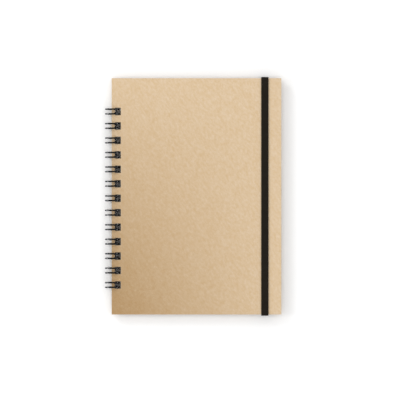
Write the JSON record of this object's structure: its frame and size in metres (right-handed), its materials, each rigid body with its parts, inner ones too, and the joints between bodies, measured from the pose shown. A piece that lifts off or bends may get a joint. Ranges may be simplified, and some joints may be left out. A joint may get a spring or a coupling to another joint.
{
  "type": "sketchbook",
  "caption": "Wire-bound sketchbook with plain kraft board covers, drawing sheets and a flat black elastic closing band near the fore-edge.",
  "frame": {"origin": "centre of the closed book's footprint, on the surface that the wire loops stand on", "axes": "+X from the wire-bound spine to the fore-edge, +Y from the foot of the page to its head, +Z from the back cover to the front cover"},
  "size_m": [0.1551, 0.2098, 0.0132],
  "materials": {
    "kraft_board": "uncoated brown kraft board, matt, with fine fibres and flecks",
    "drawing_paper": "matt off-white drawing paper with a light tooth",
    "black_wire": "glossy black nylon-coated steel wire",
    "black_elastic": "flat woven black elastic, matt, ribbed along its length",
    "eyelet_metal": "black lacquered steel, satin"
  },
  "bodies": {
    "binding": {"binding_wire": "black_wire", "back_cover": "kraft_board", "eyelet_head": "eyelet_metal", "eyelet_foot": "eyelet_metal"},
    "front_cover": {"front_cover": "kraft_board"},
    "sheet_01": {"sheet_01": "drawing_paper"},
    "sheet_02": {"sheet_02": "drawing_paper"},
    "sheet_03": {"sheet_03": "drawing_paper"},
    "sheet_04": {"sheet_04": "drawing_paper"},
    "sheet_05": {"sheet_05": "drawing_paper"},
    "sheet_06": {"sheet_06": "drawing_paper"},
    "sheet_07": {"sheet_07": "drawing_paper"},
    "sheet_08": {"sheet_08": "drawing_paper"},
    "sheet_09": {"sheet_09": "drawing_paper"},
    "sheet_10": {"sheet_10": "drawing_paper"},
    "sheet_11": {"sheet_11": "drawing_paper"},
    "sheet_12": {"sheet_12": "drawing_paper"},
    "sheet_13": {"sheet_13": "drawing_paper"},
    "sheet_14": {"sheet_14": "drawing_paper"},
    "sheet_15": {"sheet_15": "drawing_paper"},
    "sheet_16": {"sheet_16": "drawing_paper"},
    "sheet_17": {"sheet_17": "drawing_paper"},
    "sheet_18": {"sheet_18": "drawing_paper"},
    "sheet_19": {"sheet_19": "drawing_paper"},
    "sheet_20": {"sheet_20": "drawing_paper"},
    "sheet_21": {"sheet_21": "drawing_paper"},
    "sheet_22": {"sheet_22": "drawing_paper"},
    "sheet_23": {"sheet_23": "drawing_paper"},
    "sheet_24": {"sheet_24": "drawing_paper"},
    "sheet_25": {"sheet_25": "drawing_paper"},
    "sheet_26": {"sheet_26": "drawing_paper"},
    "sheet_27": {"sheet_27": "drawing_paper"},
    "sheet_28": {"sheet_28": "drawing_paper"},
    "sheet_29": {"sheet_29": "drawing_paper"},
    "sheet_30": {"sheet_30": "drawing_paper"},
    "elastic_band": {"elastic_band": "black_elastic"}
  },
  "joints": [
    {"name": "front_cover_hinge", "type": "hinge", "parent": "binding", "child": "front_cover", "pos_m": [-0.07155, 0, 0.0066], "axis": [0, -1, 0], "range_deg": [0, 180]},
    {"name": "sheet_01_hinge", "type": "hinge", "parent": "binding", "child": "sheet_01", "pos_m": [-0.07155, 0, 0.0066], "axis": [0, -1, 0], "range_deg": [0, 179.7]},
    {"name": "sheet_02_hinge", "type": "hinge", "parent": "binding", "child": "sheet_02", "pos_m": [-0.07155, 0, 0.0066], "axis": [0, -1, 0], "range_deg": [0, 178.3]},
    {"name": "sheet_03_hinge", "type": "hinge", "parent": "binding", "child": "sheet_03", "pos_m": [-0.07155, 0, 0.0066], "axis": [0, -1, 0], "range_deg": [0, 176]},
    {"name": "sheet_04_hinge", "type": "hinge", "parent": "binding", "child": "sheet_04", "pos_m": [-0.07155, 0, 0.0066], "axis": [0, -1, 0], "range_deg": [0, 172.9]},
    {"name": "sheet_05_hinge", "type": "hinge", "parent": "binding", "child": "sheet_05", "pos_m": [-0.07155, 0, 0.0066], "axis": [0, -1, 0], "range_deg": [0, 168.8]},
    {"name": "sheet_06_hinge", "type": "hinge", "parent": "binding", "child": "sheet_06", "pos_m": [-0.07155, 0, 0.0066], "axis": [0, -1, 0], "range_deg": [0, 164]},
    {"name": "sheet_07_hinge", "type": "hinge", "parent": "binding", "child": "sheet_07", "pos_m": [-0.07155, 0, 0.0066], "axis": [0, -1, 0], "range_deg": [0, 158.4]},
    {"name": "sheet_08_hinge", "type": "hinge", "parent": "binding", "child": "sheet_08", "pos_m": [-0.07155, 0, 0.0066], "axis": [0, -1, 0], "range_deg": [0, 152.2]},
    {"name": "sheet_09_hinge", "type": "hinge", "parent": "binding", "child": "sheet_09", "pos_m": [-0.07155, 0, 0.0066], "axis": [0, -1, 0], "range_deg": [0, 145.2]},
    {"name": "sheet_10_hinge", "type": "hinge", "parent": "binding", "child": "sheet_10", "pos_m": [-0.07155, 0, 0.0066], "axis": [0, -1, 0], "range_deg": [0, 137.8]},
    {"name": "sheet_11_hinge", "type": "hinge", "parent": "binding", "child": "sheet_11", "pos_m": [-0.07155, 0, 0.0066], "axis": [0, -1, 0], "range_deg": [0, 129.8]},
    {"name": "sheet_12_hinge", "type": "hinge", "parent": "binding", "child": "sheet_12", "pos_m": [-0.07155, 0, 0.0066], "axis": [0, -1, 0], "range_deg": [0, 121.4]},
    {"name": "sheet_13_hinge", "type": "hinge", "parent": "binding", "child": "sheet_13", "pos_m": [-0.07155, 0, 0.0066], "axis": [0, -1, 0], "range_deg": [0, 112.7]},
    {"name": "sheet_14_hinge", "type": "hinge", "parent": "binding", "child": "sheet_14", "pos_m": [-0.07155, 0, 0.0066], "axis": [0, -1, 0], "range_deg": [0, 103.8]},
    {"name": "sheet_15_hinge", "type": "hinge", "parent": "binding", "child": "sheet_15", "pos_m": [-0.07155, 0, 0.0066], "axis": [0, -1, 0], "range_deg": [0, 94.7]},
    {"name": "sheet_16_hinge", "type": "hinge", "parent": "binding", "child": "sheet_16", "pos_m": [-0.07155, 0, 0.0066], "axis": [0, -1, 0], "range_deg": [0, 85.6]},
    {"name": "sheet_17_hinge", "type": "hinge", "parent": "binding", "child": "sheet_17", "pos_m": [-0.07155, 0, 0.0066], "axis": [0, -1, 0], "range_deg": [0, 76.5]},
    {"name": "sheet_18_hinge", "type": "hinge", "parent": "binding", "child": "sheet_18", "pos_m": [-0.07155, 0, 0.0066], "axis": [0, -1, 0], "range_deg": [0, 67.6]},
    {"name": "sheet_19_hinge", "type": "hinge", "parent": "binding", "child": "sheet_19", "pos_m": [-0.07155, 0, 0.0066], "axis": [0, -1, 0], "range_deg": [0, 58.9]},
    {"name": "sheet_20_hinge", "type": "hinge", "parent": "binding", "child": "sheet_20", "pos_m": [-0.07155, 0, 0.0066], "axis": [0, -1, 0], "range_deg": [0, 50.5]},
    {"name": "sheet_21_hinge", "type": "hinge", "parent": "binding", "child": "sheet_21", "pos_m": [-0.07155, 0, 0.0066], "axis": [0, -1, 0], "range_deg": [0, 42.5]},
    {"name": "sheet_22_hinge", "type": "hinge", "parent": "binding", "child": "sheet_22", "pos_m": [-0.07155, 0, 0.0066], "axis": [0, -1, 0], "range_deg": [0, 35.1]},
    {"name": "sheet_23_hinge", "type": "hinge", "parent": "binding", "child": "sheet_23", "pos_m": [-0.07155, 0, 0.0066], "axis": [0, -1, 0], "range_deg": [0, 28.1]},
    {"name": "sheet_24_hinge", "type": "hinge", "parent": "binding", "child": "sheet_24", "pos_m": [-0.07155, 0, 0.0066], "axis": [0, -1, 0], "range_deg": [0, 21.9]},
    {"name": "sheet_25_hinge", "type": "hinge", "parent": "binding", "child": "sheet_25", "pos_m": [-0.07155, 0, 0.0066], "axis": [0, -1, 0], "range_deg": [0, 16.3]},
    {"name": "sheet_26_hinge", "type": "hinge", "parent": "binding", "child": "sheet_26", "pos_m": [-0.07155, 0, 0.0066], "axis": [0, -1, 0], "range_deg": [0, 11.5]},
    {"name": "sheet_27_hinge", "type": "hinge", "parent": "binding", "child": "sheet_27", "pos_m": [-0.07155, 0, 0.0066], "axis": [0, -1, 0], "range_deg": [0, 7.4]},
    {"name": "sheet_28_hinge", "type": "hinge", "parent": "binding", "child": "sheet_28", "pos_m": [-0.07155, 0, 0.0066], "axis": [0, -1, 0], "range_deg": [0, 4.3]},
    {"name": "sheet_29_hinge", "type": "hinge", "parent": "binding", "child": "sheet_29", "pos_m": [-0.07155, 0, 0.0066], "axis": [0, -1, 0], "range_deg": [0, 2]},
    {"name": "sheet_30_hinge", "type": "hinge", "parent": "binding", "child": "sheet_30", "pos_m": [-0.07155, 0, 0.0066], "axis": [0, -1, 0], "range_deg": [0, 0.6]},
    {"name": "band_slide", "type": "slide", "parent": "binding", "child": "elastic_band", "axis": [1, 0, 0], "range_m": [0, 0.02], "deforming": ["elastic_band"]}
  ],
  "couplings": [
    {"joint": "sheet_01_hinge", "follows": "front_cover_hinge", "ratio": 0.99743},
    {"joint": "sheet_02_hinge", "follows": "front_cover_hinge", "ratio": 0.98976},
    {"joint": "sheet_03_hinge", "follows": "front_cover_hinge", "ratio": 0.97707},
    {"joint": "sheet_04_hinge", "follows": "front_cover_hinge", "ratio": 0.95948},
    {"joint": "sheet_05_hinge", "follows": "front_cover_hinge", "ratio": 0.93717},
    {"joint": "sheet_06_hinge", "follows": "front_cover_hinge", "ratio": 0.91038},
    {"joint": "sheet_07_hinge", "follows": "front_cover_hinge", "ratio": 0.87938},
    {"joint": "sheet_08_hinge", "follows": "front_cover_hinge", "ratio": 0.84448},
    {"joint": "sheet_09_hinge", "follows": "front_cover_hinge", "ratio": 0.80605},
    {"joint": "sheet_10_hinge", "follows": "front_cover_hinge", "ratio": 0.76448},
    {"joint": "sheet_11_hinge", "follows": "front_cover_hinge", "ratio": 0.7202},
    {"joint": "sheet_12_hinge", "follows": "front_cover_hinge", "ratio": 0.67365},
    {"joint": "sheet_13_hinge", "follows": "front_cover_hinge", "ratio": 0.62533},
    {"joint": "sheet_14_hinge", "follows": "front_cover_hinge", "ratio": 0.57571},
    {"joint": "sheet_15_hinge", "follows": "front_cover_hinge", "ratio": 0.52532},
    {"joint": "sheet_16_hinge", "follows": "front_cover_hinge", "ratio": 0.47468},
    {"joint": "sheet_17_hinge", "follows": "front_cover_hinge", "ratio": 0.42429},
    {"joint": "sheet_18_hinge", "follows": "front_cover_hinge", "ratio": 0.37467},
    {"joint": "sheet_19_hinge", "follows": "front_cover_hinge", "ratio": 0.32635},
    {"joint": "sheet_20_hinge", "follows": "front_cover_hinge", "ratio": 0.2798},
    {"joint": "sheet_21_hinge", "follows": "front_cover_hinge", "ratio": 0.23552},
    {"joint": "sheet_22_hinge", "follows": "front_cover_hinge", "ratio": 0.19395},
    {"joint": "sheet_23_hinge", "follows": "front_cover_hinge", "ratio": 0.15552},
    {"joint": "sheet_24_hinge", "follows": "front_cover_hinge", "ratio": 0.12062},
    {"joint": "sheet_25_hinge", "follows": "front_cover_hinge", "ratio": 0.08962},
    {"joint": "sheet_26_hinge", "follows": "front_cover_hinge", "ratio": 0.06283},
    {"joint": "sheet_27_hinge", "follows": "front_cover_hinge", "ratio": 0.04052},
    {"joint": "sheet_28_hinge", "follows": "front_cover_hinge", "ratio": 0.02293},
    {"joint": "sheet_29_hinge", "follows": "front_cover_hinge", "ratio": 0.01024},
    {"joint": "sheet_30_hinge", "follows": "front_cover_hinge", "ratio": 0.00257}
  ]
}
